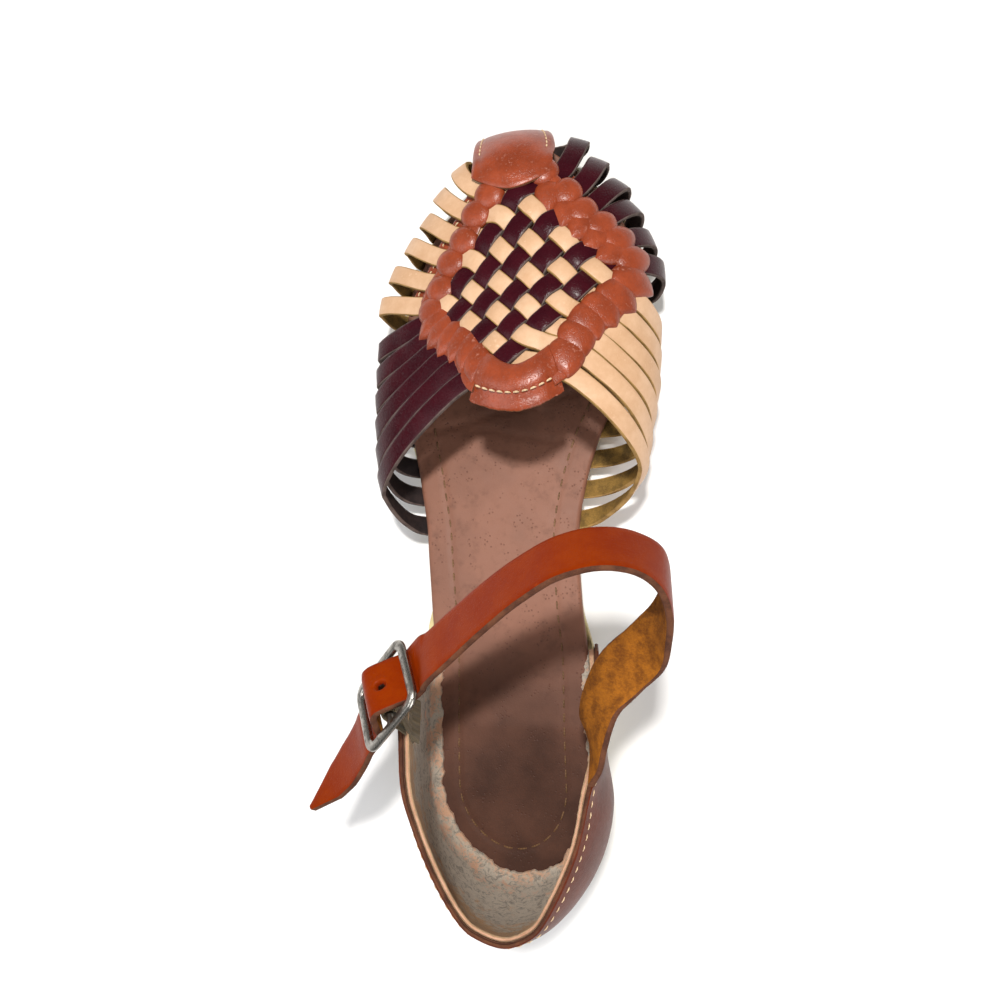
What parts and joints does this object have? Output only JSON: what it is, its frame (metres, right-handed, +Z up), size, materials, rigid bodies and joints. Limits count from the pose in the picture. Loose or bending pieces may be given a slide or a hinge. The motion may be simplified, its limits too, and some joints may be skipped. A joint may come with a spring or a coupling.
{
  "type": "huarache sandal",
  "caption": "Low woven leather sandal with a closed heel quarter, crossed straps in two colours over the forefoot, and a buckled ankle strap.",
  "frame": {"origin": "on the floor, under the middle of the heel, at the mount heel_rest", "axes": "+Y from heel to toe, +X to the medial side (the big toe's side of a left foot), +Z up from the floor"},
  "size_m": [0.1091, 0.2582, 0.1133],
  "materials": {
    "sole": "moulded pale yellow PVC, satin",
    "insole_cover": "pinkish brown synthetic cover with fine pores and a sewn edge",
    "strap_leather": "natural cream and burgundy straps, smooth grain, suede inside",
    "frame_leather": "cognac brown, smooth, slightly glossy",
    "quarter_leather": "dark cognac brown, with a worn felt-like lining",
    "ankle_leather": "cognac, glossy grain outside and golden suede inside",
    "buckle_metal": "antique nickel, worn bright on the edges",
    "elastic_web": "olive gold herringbone elastic"
  },
  "bodies": {
    "root": {"outsole": "sole", "insole": "insole_cover", "upper": "strap_leather", "vamp_frame": "frame_leather", "quarter": "quarter_leather", "ankle_strap": "ankle_leather", "buckle_frame": "buckle_metal", "buckle_prong": "buckle_metal", "elastic_loop": "elastic_web"}
  },
  "joints": []
}
